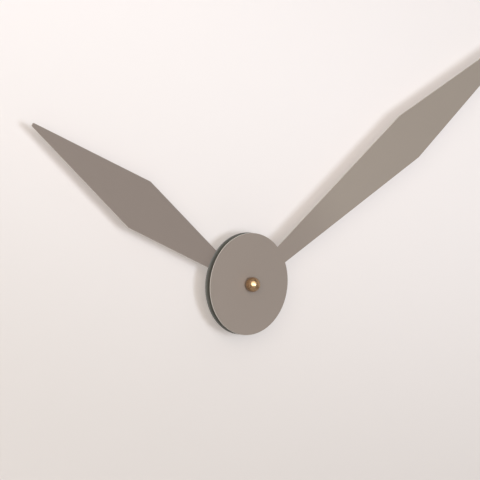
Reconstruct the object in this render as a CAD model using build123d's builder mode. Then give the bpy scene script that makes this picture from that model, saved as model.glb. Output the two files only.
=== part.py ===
from build123d import *
from math import acos, cos, pi, radians, sin, sqrt, tan
import os

os.makedirs("parts", exist_ok=True)

# A wall clock without a dial. Two sheet-metal hands with round hubs turn in front of a
# battery quartz movement, which a steel bracket holds to the wall behind the hubs.
# X runs right, Z up, and the clock faces -Y. The hands' axis meets the wall at the origin.
# A depth is measured from the wall towards the viewer. A spot is (x, z) on the wall.

# Hands
hub_diameter = 100.0
sheet = 0.8
blade_width = 50.7
root_width = 19.2
tip_width = 3.6
tip_radius = 1.4
minute_length = 450.0
minute_widest = 250.5
hour_length = 310.5
hour_widest = 157.4
minute_angle = 60.0
hour_angle = 305.0
face_gap = 6.6
hour_clearance = 0.4
edge_break = 0.15
blade_overlap = 10.0

# Collets, cap nut and bushing at the centre
collet_radius = 4.0
collet_flange_radius = 6.5
collet_flange = 1.0
collet_collar = 1.0
ball_radius = 7.2
ball_height = 5.4
nut_thread_depth = 6.5
nut_thread_spare = 0.5
bushing_radius = 4.0
bushing_flange_radius = 6.5
bushing_flange = 1.2
bushing_spare = 0.1
thread_chamfer = 0.4
washer_radius = 6.6
washer_thickness = 0.5
hex_nut_across = 11.0
hex_nut_height = 1.6
tube_wall = 0.95
tube_proud = 0.2
shaft_radius = 1.6

# Clearances
running = 0.05
clutch_fit = 0.02
seat = 0.05
end_shake = 0.1
mesh_room = 0.3
edge_room = 0.6

# Gears, all with the same tooth form
pressure_angle = 25.0
addendum = 0.7
dedendum = 0.95
backlash = 0.1
train_module = 0.3
motion_module = 0.5
wheel_thickness = 0.8
motion_thickness = 1.0
hour_thickness = 1.2
level_step = 1.0
pinion_teeth = 8
second_teeth = 60
third_teeth = 60
centre_teeth = 64
cannon_teeth = 12
motion_teeth = 36
motion_pinion_teeth = 10
hour_teeth = 40
third_direction = 30.0
second_direction = 100.0
rotor_direction = 180.0
motion_direction = 150.0
arbor_radius = 0.7
pivot_radius = 0.45
pivot_length = 0.7
minute_pivot_radius = 0.8
clutch_seat_radius = 1.3
clutch_hub_radius = 2.6
clutch_spring_radius = 2.2
clutch_spring_thickness = 0.4
first_level = 1.7
train_plate_thickness = 0.8
train_plate_margin = 3.0

# Motor
magnet_radius = 3.0
magnet_length = 3.0
air_gap = 0.4
stator_thickness = 0.8
stator_height = 7.3
stator_reach = 6.6
stator_boss_room = 1.0
coil_room = 1.0
stator_post_width = 4.0
core_width = 3.2
winding_radius = 3.2
winding_length = 9.0
bobbin_flange = 1.0
bobbin_wall = 0.6
bobbin_rim = 0.1

# Movement case, with a round AA cell lying across its foot
case_corner = 3.5
side_wall = 1.2
front_wall = 1.0
rear_wall = 1.2
screw_boss_radius = 2.0
screw_radius = 1.0
screw_length = 6.0
screw_head_radius = 1.9
screw_head_height = 0.8
upper_screw_inset = 3.8
upper_screw_drop = 4.3
lower_screw_inset = 3.2
lower_screw_rise = 4.3
post_radius = 1.5
post_room = 1.0
left_post_room = 4.0
right_post_direction = -40.0
left_post_direction = -158.0
top_post_direction = 20.0
cell_diameter = 14.2
cell_length = 49.2
cell_edge = 0.6
cell_nipple_radius = 2.75
cell_nipple = 1.3
cell_clearance = 0.1
cell_end_room = 1.55
cell_train_gap = 2.56
cell_wall_gap = 1.2
cradle_thickness = 1.2
cradle_spacing = 28.0
knob_radius = 7.0
knob_thickness = 1.2
knob_gap = 0.4
knob_ridges = 24
knob_ridge_depth = 0.4
stem_radius = 1.2
stem_pivot_radius = 0.6
bearing_radius = 2.0
bearing_height = 0.8

# Circuit
board_height = 22.0
board_boss_gap = 2.2
board_wheel_gap = 2.25
board_thickness = 1.0
board_stand = 2.2
crystal_radius = 1.0
crystal_length = 6.0
crystal_inset = 3.3
crystal_rise = 13.0
chip_width = 6.0
chip_height = 5.0
chip_thickness = 1.2
chip_inset = 3.3
chip_rise = 4.0
contact_sheet = 0.4
contact_height = 10.0
contact_depth = 8.0
contact_tail = 1.2
contact_gap = 0.15
contact_bump_radius = 2.4

# Wall bracket
bracket_sheet = 1.2
bracket_width = 22.0
bracket_foot = 10.2
bracket_clearance = 0.6
wall_screw_inset = 3.8
wall_screw_hole = 2.25
foot_corner = 3.0

# Tooth counts give the distances between the arbors
train_distance = train_module * (pinion_teeth + third_teeth) / 2
centre_distance = train_module * (pinion_teeth + centre_teeth) / 2
rotor_distance = train_module * (pinion_teeth + second_teeth) / 2
motion_distance = motion_module * (cannon_teeth + motion_teeth) / 2
hour_module = 2 * motion_distance / (motion_pinion_teeth + hour_teeth)


def away(spot, distance, direction):
    """The spot at a distance from another, in degrees from +X towards +Z."""
    return (
        spot[0] + distance * cos(radians(direction)),
        spot[1] + distance * sin(radians(direction)),
    )


centre_spot = (0.0, 0.0)
third_spot = away(centre_spot, centre_distance, third_direction)
second_spot = away(third_spot, train_distance, second_direction)
rotor_spot = away(second_spot, rotor_distance, rotor_direction)
motion_spot = away(centre_spot, motion_distance, motion_direction)

# Depths inside the case, from its rear face forward
second_level = rear_wall + first_level
third_level = second_level + wheel_thickness + level_step
centre_level = third_level + wheel_thickness + level_step
plate_level = centre_level + wheel_thickness + 2 * mesh_room
motion_level = plate_level + train_plate_thickness + mesh_room
hour_level = motion_level + motion_thickness + level_step
flange_level = hour_level + hour_thickness + 2 * end_shake
inner_front_level = flange_level + bushing_flange

# The case stands off the wall far enough for the setting knob and for the cell
cell_overhang = cell_diameter + cell_clearance - inner_front_level
case_rear_depth = max(knob_thickness + 2 * knob_gap, cell_overhang + cell_wall_gap)
rear_inner = case_rear_depth + rear_wall
second_depth = case_rear_depth + second_level
third_depth = case_rear_depth + third_level
centre_depth = case_rear_depth + centre_level
plate_depth = case_rear_depth + plate_level
plate_front = plate_depth + train_plate_thickness
motion_depth = case_rear_depth + motion_level
hour_depth = case_rear_depth + hour_level
flange_depth = case_rear_depth + flange_level
front_inner = case_rear_depth + inner_front_level
case_front_depth = front_inner + front_wall

# Depths in front of the case
web_front = case_front_depth + bracket_sheet
washer_front = web_front + washer_thickness
hex_nut_front = washer_front + hex_nut_height
bushing_front = hex_nut_front + bushing_spare
hour_rear = bushing_front + hour_clearance
hour_front = hour_rear + sheet
minute_front = hour_front + face_gap
minute_rear = minute_front - sheet
tube_radius = shaft_radius + running + tube_wall
hour_collet_front = hour_front + collet_flange + collet_collar
tube_front = hour_collet_front + tube_proud
nut_centre = minute_front + ball_height
shaft_front = minute_front + nut_thread_depth - nut_thread_spare

# Motor, with its coil above the stator
stator_depth = third_depth + wheel_thickness + mesh_room
stator_front = stator_depth + stator_thickness
magnet_depth = second_depth + wheel_thickness + 2 * mesh_room + end_shake
stator_top = rotor_spot[1] + stator_height / 2
bobbin_outer = winding_radius + bobbin_rim
winding_height = stator_top + bobbin_rim + bobbin_outer
core_depth = stator_front
core_middle = core_depth + stator_thickness / 2
core_front = core_depth + stator_thickness
core_top = winding_height + core_width / 2

# The case is square, and as large as the cell, the coil or the wheels over the cell need
hour_wheel_tip = hour_module * (hour_teeth / 2 + addendum)
cell_need = (cell_length + cell_nipple) / 2 + cell_end_room
coil_need = winding_height + bobbin_outer + coil_room
wheel_need = hour_wheel_tip + cell_train_gap + cell_diameter + cell_clearance
inner_half = max(cell_need, coil_need, wheel_need)
inner_size = 2 * inner_half
case_size = inner_size + 2 * side_wall
inner_corner = case_corner - side_wall

# Layout inside the case
cell_radius = cell_diameter / 2
cell_height = -inner_half + cell_clearance + cell_radius
cell_depth = front_inner - cell_clearance - cell_radius
cell_left = -(cell_length + cell_nipple) / 2
cell_right = cell_left + cell_length
cell_opening = inner_half - edge_room
upper_screw = (inner_half - upper_screw_inset, inner_half - upper_screw_drop)
lower_screw = (inner_half - lower_screw_inset, cell_height + cell_radius + lower_screw_rise)
board_right = inner_half - 2 * contact_sheet - 2 * contact_gap
board_left = hour_wheel_tip + board_wheel_gap
board_width = board_right - board_left
board_foot = lower_screw[1] + screw_boss_radius + board_boss_gap
board_depth = front_inner - board_stand - board_thickness
board_front = board_depth + board_thickness
board_middle = board_foot + board_height / 2
stator_right = rotor_spot[0] + stator_reach
stator_left = -upper_screw[0] + screw_boss_radius + stator_boss_room
winding_middle = (stator_left + stator_right) / 2
stator_post_middles = (
    stator_left + stator_post_width / 2,
    stator_right - stator_post_width / 2,
)
screw_spots = [
    upper_screw,
    (-upper_screw[0], upper_screw[1]),
    lower_screw,
    (-lower_screw[0], lower_screw[1]),
]
plate_posts = [
    away(centre_spot, hour_wheel_tip + post_radius + post_room, right_post_direction),
    away(centre_spot, hour_wheel_tip + post_radius + left_post_room, left_post_direction),
    away(second_spot, pivot_radius + post_radius + post_room, top_post_direction),
]
board_posts = [
    (board_right - 2 * post_radius, board_foot + board_height - 2 * post_radius),
    (board_right - 2 * post_radius, board_foot + 2 * post_radius),
    (board_left + 2 * post_radius, board_foot + board_height - 2 * post_radius),
]
minute_axis = Axis((0, 0, 0), (0, 1, 0))


def at_depth(depth):
    """A plane parallel to the wall, facing the viewer: local x is X and local y is Z."""
    return Plane.XZ.offset(depth)


def hand_plane(depth, clock_angle):
    """A plane parallel to the wall whose local x points where a hand points."""
    pointing = (sin(radians(clock_angle)), 0, cos(radians(clock_angle)))
    return Plane(origin=(0, -depth, 0), x_dir=pointing, z_dir=(0, -1, 0))


def turning_plane(spot):
    """A plane through an arbor: local x is the radius and local y the depth."""
    return Plane(origin=(spot[0], 0, spot[1]), x_dir=(1, 0, 0), z_dir=(0, 0, -1))


def arbor_axis(spot):
    """The line of an arbor, square to the wall."""
    return Axis((spot[0], 0, spot[1]), (0, 1, 0))


def turned_section(steps, bore=0.0):
    """Half the section of a turned piece, from (radius, start depth, end depth) steps."""
    with BuildSketch() as section:
        for radius, start, end in steps:
            with Locations(((bore + radius) / 2, (start + end) / 2)):
                Rectangle(radius - bore, end - start)
    return section.sketch


def toothed_face(teeth, module, phase):
    """The face of a gear with involute flanks, one tooth centred on the phase in degrees."""
    pitch = module * teeth / 2
    base = pitch * cos(radians(pressure_angle))
    root = pitch - dedendum * module
    tip = pitch + addendum * module
    flank_involute = tan(radians(pressure_angle)) - radians(pressure_angle)
    pitch_half = pi / (2 * teeth) * (1 - backlash)
    radii = [root, pitch, tip] if base <= root else [root, base, pitch, tip]
    flank = []
    for radius in radii:
        roll = acos(min(1.0, base / radius))
        flank.append((radius, pitch_half + flank_involute - tan(roll) + roll))
    points = []
    for tooth in range(teeth):
        middle = radians(phase) + 2 * pi * tooth / teeth
        for radius, half in flank:
            points.append((radius * cos(middle - half), radius * sin(middle - half)))
        for radius, half in reversed(flank):
            points.append((radius * cos(middle + half), radius * sin(middle + half)))
    with BuildSketch() as face:
        with BuildLine():
            Polyline(*points, close=True)
        make_face()
    return face.sketch


def mesh_phase(driver_teeth, driver_phase, teeth, direction):
    """The phase that puts a gap of a gear on the driver's tooth, seen along a direction."""
    turned = (driver_phase - direction) * driver_teeth / teeth
    return direction + 180 + 180 / teeth - turned


def hand_outline(length, widest):
    """A hub disc with a kite-shaped blade along local x, rounded at its tip."""
    hub_radius = hub_diameter / 2
    flare = (blade_width - root_width) / 2 / (widest - hub_radius)
    start = hub_radius - blade_overlap
    start_half = root_width / 2 - flare * (hub_radius - start)
    upper = [(start, start_half), (widest, blade_width / 2), (length, tip_width / 2)]
    lower = [(x, -y) for x, y in reversed(upper)]
    with BuildSketch() as outline:
        Circle(hub_radius)
        with BuildLine():
            Polyline(*upper, *lower, close=True)
        make_face()
        fillet(outline.vertices().group_by(Axis.X)[-1], min(tip_radius, tip_width / 2))
        Circle(collet_radius + seat, mode=Mode.SUBTRACT)
    return outline.sketch


# Steel bracket bent like a hat, with a foot on the wall above and below the movement
leg_inner = case_size / 2 + bracket_clearance
leg_outer = leg_inner + bracket_sheet
foot_end = leg_inner + bracket_foot
wall_screw_spacing = 2 * (foot_end - wall_screw_inset)
with BuildPart() as wall_bracket:
    with BuildSketch(Plane.YZ.offset(-bracket_width / 2)):
        with BuildLine():
            Polyline(
                (0, -foot_end),
                (0, -leg_inner),
                (-case_front_depth, -leg_inner),
                (-case_front_depth, leg_inner),
                (0, leg_inner),
                (0, foot_end),
                (-bracket_sheet, foot_end),
                (-bracket_sheet, leg_outer),
                (-web_front, leg_outer),
                (-web_front, -leg_outer),
                (-bracket_sheet, -leg_outer),
                (-bracket_sheet, -foot_end),
                close=True,
            )
        make_face()
    extrude(amount=bracket_width)
    with BuildSketch(at_depth(case_front_depth)):
        Circle(bushing_radius + seat)
    extrude(amount=bracket_sheet, mode=Mode.SUBTRACT)
    with BuildSketch(at_depth(0)):
        with GridLocations(0, wall_screw_spacing, 1, 2):
            Circle(wall_screw_hole)
    extrude(amount=bracket_sheet, mode=Mode.SUBTRACT)
    corners = wall_bracket.edges().filter_by(Axis.Y).filter_by(
        lambda edge: abs(abs(edge.center().Z) - foot_end) < seat
    )
    fillet(corners, foot_corner)
wall_bracket.part.label = "wall_bracket"
export_step(wall_bracket.part, "parts/wall_bracket.step")

# Front half of the moulded case, a tray with bosses for the screws, plate, board and cell
with BuildPart() as case_front:
    with BuildSketch(at_depth(rear_inner)):
        RectangleRounded(case_size, case_size, case_corner)
    extrude(amount=case_front_depth - rear_inner)
    with BuildSketch(at_depth(rear_inner)):
        RectangleRounded(inner_size, inner_size, inner_corner)
    extrude(amount=front_inner - rear_inner, mode=Mode.SUBTRACT)
    with BuildSketch(at_depth(rear_inner)):
        with Locations(*screw_spots):
            Circle(screw_boss_radius)
    extrude(amount=front_inner - rear_inner)
    with BuildSketch(at_depth(rear_inner)):
        with Locations(*screw_spots):
            Circle(screw_radius + seat)
    extrude(amount=screw_length, mode=Mode.SUBTRACT)
    with BuildSketch(at_depth(plate_front)):
        with Locations(*plate_posts):
            Circle(post_radius)
    extrude(amount=front_inner - plate_front)
    with BuildSketch(at_depth(board_front)):
        with Locations(*board_posts):
            Circle(post_radius)
    extrude(amount=board_stand)
    with BuildSketch(at_depth(core_front)):
        with Locations(*[(x, winding_height) for x in stator_post_middles]):
            Circle(post_radius)
    extrude(amount=front_inner - core_front)
    with BuildSketch(at_depth(front_inner - bearing_height)):
        with Locations(motion_spot):
            Circle(bearing_radius)
            Circle(stem_pivot_radius + running, mode=Mode.SUBTRACT)
    extrude(amount=bearing_height)
    with BuildSketch(at_depth(cell_depth)):
        with Locations((0, cell_height)):
            with GridLocations(cradle_spacing, 0, 2, 1):
                Rectangle(cradle_thickness, cell_diameter + cell_clearance)
    extrude(amount=front_inner - cell_depth)
    cell_room = cell_radius + cell_clearance
    with BuildSketch(Plane.YZ.offset(-inner_half)):
        with Locations((-cell_depth, cell_height)):
            Circle(cell_room)
    extrude(amount=inner_size, mode=Mode.SUBTRACT)
    with BuildSketch(at_depth(front_inner)):
        Circle(bushing_radius + seat)
    extrude(amount=front_wall, mode=Mode.SUBTRACT)
case_front.part.label = "case_front"
export_step(case_front.part, "parts/case_front.step")

# Rear half of the case, open over the cell, with blind bearings for the arbors
with BuildPart() as case_rear:
    with BuildSketch(at_depth(case_rear_depth)):
        RectangleRounded(case_size, case_size, case_corner)
        with Locations((0, cell_height)):
            Rectangle(2 * cell_opening, cell_diameter + cell_clearance, mode=Mode.SUBTRACT)
        with Locations(motion_spot):
            Circle(stem_radius + running, mode=Mode.SUBTRACT)
        with Locations(*screw_spots):
            Circle(screw_radius + seat, mode=Mode.SUBTRACT)
    extrude(amount=rear_wall)
    with BuildSketch(at_depth(rear_inner - pivot_length)):
        with Locations(third_spot, second_spot, rotor_spot):
            Circle(pivot_radius + running)
        Circle(minute_pivot_radius + running)
    extrude(amount=pivot_length, mode=Mode.SUBTRACT)
case_rear.part.label = "case_rear"
export_step(case_rear.part, "parts/case_rear.step")

# Four pan-head screws from the rear half into the front half
with BuildPart() as case_screws:
    with BuildSketch(at_depth(case_rear_depth - screw_head_height)):
        with Locations(*screw_spots):
            Circle(screw_head_radius)
    extrude(amount=screw_head_height)
    with BuildSketch(at_depth(case_rear_depth)):
        with Locations(*screw_spots):
            Circle(screw_radius)
    extrude(amount=screw_length)
case_screws.part.label = "case_screws"
export_step(case_screws.part, "parts/case_screws.step")

# Brass bushing through the case front, its flange inside and its thread through the bracket
with BuildPart() as threaded_bushing:
    with BuildSketch(turning_plane(centre_spot)):
        add(
            turned_section(
                [
                    (bushing_flange_radius, flange_depth, front_inner),
                    (bushing_radius, front_inner, bushing_front),
                ],
                tube_radius + running,
            )
        )
    revolve(axis=minute_axis)
    rim = threaded_bushing.faces().sort_by(Axis.Y)[0].outer_wire().edges()
    chamfer(rim, thread_chamfer)
threaded_bushing.part.label = "threaded_bushing"
export_step(threaded_bushing.part, "parts/threaded_bushing.step")

# Steel washer and thin brass hexagon nut, which clamp the bracket to the movement
with BuildPart() as bushing_washer:
    with BuildSketch(at_depth(web_front)):
        Circle(washer_radius)
        Circle(bushing_radius + seat, mode=Mode.SUBTRACT)
    extrude(amount=washer_thickness)
bushing_washer.part.label = "bushing_washer"
export_step(bushing_washer.part, "parts/bushing_washer.step")

with BuildPart() as hex_nut:
    with BuildSketch(at_depth(washer_front)):
        RegularPolygon(hex_nut_across / 2, 6, major_radius=False)
        Circle(bushing_radius + seat, mode=Mode.SUBTRACT)
    extrude(amount=hex_nut_height)
hex_nut.part.label = "hex_nut"
export_step(hex_nut.part, "parts/hex_nut.step")

# Moulded plate that carries the front pivots of the wheel train
plate_left = motion_spot[0] - stem_radius - 2 * train_plate_margin
plate_right = third_spot[0] + train_plate_margin
plate_foot = min(spot[1] for spot in plate_posts) - post_radius - edge_room
plate_top = second_spot[1] + train_plate_margin
with BuildPart() as train_plate:
    with BuildSketch(at_depth(plate_depth)):
        with Locations(((plate_left + plate_right) / 2, (plate_foot + plate_top) / 2)):
            RectangleRounded(plate_right - plate_left, plate_top - plate_foot, train_plate_margin)
        with Locations(third_spot, second_spot, rotor_spot):
            Circle(pivot_radius + running, mode=Mode.SUBTRACT)
        with Locations(motion_spot):
            Circle(stem_radius + running, mode=Mode.SUBTRACT)
        Circle(shaft_radius + running, mode=Mode.SUBTRACT)
    extrude(amount=train_plate_thickness)
train_plate.part.label = "train_plate"
export_step(train_plate.part, "parts/train_plate.step")

# Minute arbor in steel with its cannon pinion, carrying the minute hand at its threaded end
clutch_shoulder = centre_depth + wheel_thickness + mesh_room
cannon_depth = plate_front + end_shake
cannon_front = motion_depth + motion_thickness + mesh_room
with BuildPart() as minute_arbor:
    with BuildSketch(turning_plane(centre_spot)):
        add(
            turned_section(
                [
                    (minute_pivot_radius, rear_inner - pivot_length, centre_depth - end_shake),
                    (clutch_seat_radius, centre_depth - end_shake, clutch_shoulder),
                    (shaft_radius, clutch_shoulder, shaft_front),
                ]
            )
        )
    revolve(axis=minute_axis)
    with BuildSketch(at_depth(cannon_depth)):
        add(toothed_face(cannon_teeth, motion_module, 0))
    extrude(amount=cannon_front - cannon_depth)
    tip_edge = minute_arbor.faces().sort_by(Axis.Y)[0].outer_wire().edges()
    chamfer(tip_edge, thread_chamfer)
minute_arbor.part.label = "minute_arbor"
export_step(minute_arbor.part, "parts/minute_arbor.step")

# Spring washer on the arbor, which presses the centre wheel to its shoulder as a slipping clutch
spring_front = centre_depth - end_shake
with BuildPart() as clutch_spring:
    with BuildSketch(at_depth(spring_front - clutch_spring_thickness)):
        Circle(clutch_spring_radius)
        Circle(minute_pivot_radius, mode=Mode.SUBTRACT)
    extrude(amount=clutch_spring_thickness)
clutch_spring.part.label = "clutch_spring"
export_step(clutch_spring.part, "parts/clutch_spring.step")

# Centre wheel, once an hour, which drives the minute arbor through the clutch
with BuildPart() as centre_wheel:
    with BuildSketch(at_depth(centre_depth)):
        add(toothed_face(centre_teeth, train_module, 0))
    extrude(amount=wheel_thickness)
    with BuildSketch(at_depth(centre_depth)):
        Circle(clutch_hub_radius)
    extrude(amount=clutch_shoulder - centre_depth - clutch_fit)
    with BuildSketch(at_depth(centre_depth)):
        Circle(clutch_seat_radius + clutch_fit)
    extrude(amount=clutch_shoulder - centre_depth, mode=Mode.SUBTRACT)
centre_wheel.part.label = "centre_wheel"
export_step(centre_wheel.part, "parts/centre_wheel.step")

# Third and second wheels, each moulded with its pinion on a stepped arbor
train_arbor = [
    (pivot_radius, rear_inner - pivot_length + end_shake, plate_depth + pivot_length),
    (arbor_radius, rear_inner + end_shake, plate_depth - end_shake),
]
third_pinion_front = centre_depth + wheel_thickness + mesh_room / 2
with BuildPart() as third_wheel:
    with BuildSketch(turning_plane(third_spot)):
        add(turned_section(train_arbor))
    revolve(axis=arbor_axis(third_spot))
    with BuildSketch(at_depth(third_depth)):
        with Locations(third_spot):
            add(toothed_face(third_teeth, train_module, 0))
    extrude(amount=wheel_thickness)
    with BuildSketch(at_depth(third_depth + wheel_thickness)):
        with Locations(third_spot):
            phase = mesh_phase(centre_teeth, 0, pinion_teeth, third_direction)
            add(toothed_face(pinion_teeth, train_module, phase))
    extrude(amount=third_pinion_front - third_depth - wheel_thickness)
third_wheel.part.label = "third_wheel"
export_step(third_wheel.part, "parts/third_wheel.step")

second_pinion_front = third_depth + wheel_thickness + mesh_room / 2
with BuildPart() as second_wheel:
    with BuildSketch(turning_plane(second_spot)):
        add(turned_section(train_arbor))
    revolve(axis=arbor_axis(second_spot))
    with BuildSketch(at_depth(second_depth)):
        with Locations(second_spot):
            add(toothed_face(second_teeth, train_module, 0))
    extrude(amount=wheel_thickness)
    with BuildSketch(at_depth(second_depth + wheel_thickness)):
        with Locations(second_spot):
            phase = mesh_phase(third_teeth, 0, pinion_teeth, second_direction)
            add(toothed_face(pinion_teeth, train_module, phase))
    extrude(amount=second_pinion_front - second_depth - wheel_thickness)
second_wheel.part.label = "second_wheel"
export_step(second_wheel.part, "parts/second_wheel.step")

# Rotor of the stepping motor: a moulded pinion and arbor inside a ring magnet
with BuildPart() as rotor_pinion:
    with BuildSketch(turning_plane(rotor_spot)):
        add(turned_section(train_arbor))
    revolve(axis=arbor_axis(rotor_spot))
    with BuildSketch(at_depth(second_depth - mesh_room / 2)):
        with Locations(rotor_spot):
            phase = mesh_phase(second_teeth, 0, pinion_teeth, rotor_direction)
            add(toothed_face(pinion_teeth, train_module, phase))
    extrude(amount=wheel_thickness + mesh_room)
rotor_pinion.part.label = "rotor_pinion"
export_step(rotor_pinion.part, "parts/rotor_pinion.step")

with BuildPart() as rotor_magnet:
    with BuildSketch(at_depth(magnet_depth)):
        with Locations(rotor_spot):
            Circle(magnet_radius)
            Circle(arbor_radius, mode=Mode.SUBTRACT)
    extrude(amount=magnet_length)
rotor_magnet.part.label = "rotor_magnet"
export_step(rotor_magnet.part, "parts/rotor_magnet.step")

# Soft-iron stator round the rotor, and the core that closes it through the coil
bar_middle = ((stator_left + stator_right) / 2, rotor_spot[1])
post_height = core_top - stator_top
with BuildPart() as stator:
    with BuildSketch(at_depth(stator_depth)):
        with Locations(bar_middle):
            Rectangle(stator_right - stator_left, stator_height)
        with Locations(*[(x, stator_top + post_height / 2) for x in stator_post_middles]):
            Rectangle(stator_post_width, post_height)
        with Locations(rotor_spot):
            Circle(magnet_radius + air_gap, mode=Mode.SUBTRACT)
    extrude(amount=stator_thickness)
stator.part.label = "stator"
export_step(stator.part, "parts/stator.step")

with BuildPart() as coil_core:
    with BuildSketch(at_depth(core_depth)):
        with Locations((winding_middle, winding_height)):
            Rectangle(stator_right - stator_left, core_width)
    extrude(amount=stator_thickness)
coil_core.part.label = "coil_core"
export_step(coil_core.part, "parts/coil_core.step")

# Moulded bobbin with square flanges on the core, wound with fine copper wire
bobbin_length = winding_length + 2 * bobbin_flange
with BuildPart() as coil_bobbin:
    bobbin_left = Plane.YZ.offset(winding_middle - bobbin_length / 2)
    with BuildSketch(bobbin_left):
        with Locations((-core_middle, winding_height)):
            Rectangle(stator_thickness + 2 * bobbin_wall, core_width + 2 * bobbin_wall)
    extrude(amount=bobbin_length)
    for left in (0, bobbin_length - bobbin_flange):
        with BuildSketch(bobbin_left.offset(left)):
            with Locations((-core_middle, winding_height)):
                Rectangle(2 * bobbin_outer, 2 * bobbin_outer)
        extrude(amount=bobbin_flange)
    with BuildSketch(bobbin_left):
        with Locations((-core_middle, winding_height)):
            Rectangle(stator_thickness, core_width)
    extrude(amount=bobbin_length, mode=Mode.SUBTRACT)
coil_bobbin.part.label = "coil_bobbin"
export_step(coil_bobbin.part, "parts/coil_bobbin.step")

with BuildPart() as coil_winding:
    with BuildSketch(Plane.YZ.offset(winding_middle - winding_length / 2)):
        with Locations((-core_middle, winding_height)):
            Circle(winding_radius)
            Rectangle(
                stator_thickness + 2 * bobbin_wall,
                core_width + 2 * bobbin_wall,
                mode=Mode.SUBTRACT,
            )
    extrude(amount=winding_length)
coil_winding.part.label = "coil_winding"
export_step(coil_winding.part, "parts/coil_winding.step")

# Motion wheel and pinion, moulded together on the setting knob's stem
motion_phase = mesh_phase(cannon_teeth, 0, motion_teeth, motion_direction)
motion_pinion_front = hour_depth + hour_thickness + mesh_room
with BuildPart() as motion_wheel:
    with BuildSketch(at_depth(motion_depth)):
        with Locations(motion_spot):
            add(toothed_face(motion_teeth, motion_module, motion_phase))
    extrude(amount=motion_thickness)
    with BuildSketch(at_depth(motion_depth + motion_thickness)):
        with Locations(motion_spot):
            add(toothed_face(motion_pinion_teeth, hour_module, 0))
    extrude(amount=motion_pinion_front - motion_depth - motion_thickness)
    with BuildSketch(at_depth(motion_depth)):
        with Locations(motion_spot):
            Circle(stem_radius)
    extrude(amount=motion_pinion_front - motion_depth, mode=Mode.SUBTRACT)
motion_wheel.part.label = "motion_wheel"
export_step(motion_wheel.part, "parts/motion_wheel.step")

# Ridged setting knob behind the case, with its stem up to a bearing on the case front
stem_front = front_inner - bearing_height - end_shake
knob_depth = case_rear_depth - knob_gap - knob_thickness
with BuildPart() as setting_knob:
    with BuildSketch(turning_plane(motion_spot)):
        add(
            turned_section(
                [
                    (knob_radius, knob_depth, knob_depth + knob_thickness),
                    (stem_radius, knob_depth + knob_thickness, stem_front),
                    (stem_pivot_radius, stem_front, front_inner - end_shake),
                ]
            )
        )
    revolve(axis=arbor_axis(motion_spot))
    with BuildSketch(at_depth(knob_depth)):
        with Locations(motion_spot):
            with PolarLocations(knob_radius, knob_ridges):
                Circle(knob_ridge_depth)
    extrude(amount=knob_thickness, mode=Mode.SUBTRACT)
setting_knob.part.label = "setting_knob"
export_step(setting_knob.part, "parts/setting_knob.step")

# Hour wheel and its tube, which runs on the minute arbor and in the bushing
hour_phase = mesh_phase(motion_pinion_teeth, 0, hour_teeth, motion_direction + 180)
with BuildPart() as hour_wheel:
    with BuildSketch(at_depth(hour_depth)):
        add(toothed_face(hour_teeth, hour_module, hour_phase))
    extrude(amount=hour_thickness)
    with BuildSketch(at_depth(hour_depth)):
        Circle(tube_radius)
    extrude(amount=tube_front - hour_depth)
    with BuildSketch(at_depth(hour_depth)):
        Circle(shaft_radius + running)
    extrude(amount=tube_front - hour_depth, mode=Mode.SUBTRACT)
hour_wheel.part.label = "hour_wheel"
export_step(hour_wheel.part, "parts/hour_wheel.step")

# Hour hand, hub and blade cut from one painted sheet, with a brass collet riveted in
with BuildPart() as hour_hand:
    with BuildSketch(hand_plane(hour_rear, hour_angle)):
        add(hand_outline(hour_length, hour_widest))
    extrude(amount=sheet)
    outer_faces = hour_hand.faces().filter_by(Axis.Y)
    chamfer([edge for face in outer_faces for edge in face.outer_wire().edges()], edge_break)
hour_hand.part.label = "hour_hand"
export_step(hour_hand.part, "parts/hour_hand.step")

with BuildPart() as hour_collet:
    with BuildSketch(turning_plane(centre_spot)):
        add(
            turned_section(
                [
                    (collet_radius, hour_rear, hour_collet_front),
                    (collet_flange_radius, hour_front, hour_front + collet_flange),
                ],
                tube_radius,
            )
        )
    revolve(axis=minute_axis)
hour_collet.part.label = "hour_collet"
export_step(hour_collet.part, "parts/hour_collet.step")

# Minute hand, cut from the same sheet, with its collet riveted in from behind
with BuildPart() as minute_hand:
    with BuildSketch(hand_plane(minute_rear, minute_angle)):
        add(hand_outline(minute_length, minute_widest))
    extrude(amount=sheet)
    outer_faces = minute_hand.faces().filter_by(Axis.Y)
    chamfer([edge for face in outer_faces for edge in face.outer_wire().edges()], edge_break)
minute_hand.part.label = "minute_hand"
export_step(minute_hand.part, "parts/minute_hand.step")

with BuildPart() as minute_collet:
    with BuildSketch(turning_plane(centre_spot)):
        add(
            turned_section(
                [
                    (collet_radius, minute_rear, minute_front),
                    (collet_flange_radius, minute_rear - collet_flange, minute_rear),
                ],
                shaft_radius,
            )
        )
    revolve(axis=minute_axis)
minute_collet.part.label = "minute_collet"
export_step(minute_collet.part, "parts/minute_collet.step")

# Polished brass ball nut on the end of the minute arbor, with a flat seat on the hand
seat_radius = sqrt(ball_radius**2 - ball_height**2)
with BuildPart() as cap_nut:
    with BuildSketch(turning_plane(centre_spot)):
        with BuildLine():
            Line((0, minute_front), (seat_radius, minute_front))
            ThreePointArc(
                (seat_radius, minute_front),
                (ball_radius, nut_centre),
                (0, nut_centre + ball_radius),
            )
            Line((0, nut_centre + ball_radius), (0, minute_front))
        make_face()
    revolve(axis=minute_axis)
    with BuildSketch(at_depth(minute_front)):
        Circle(shaft_radius)
    extrude(amount=nut_thread_depth, mode=Mode.SUBTRACT)
cap_nut.part.label = "cap_nut"
export_step(cap_nut.part, "parts/cap_nut.step")

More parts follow.
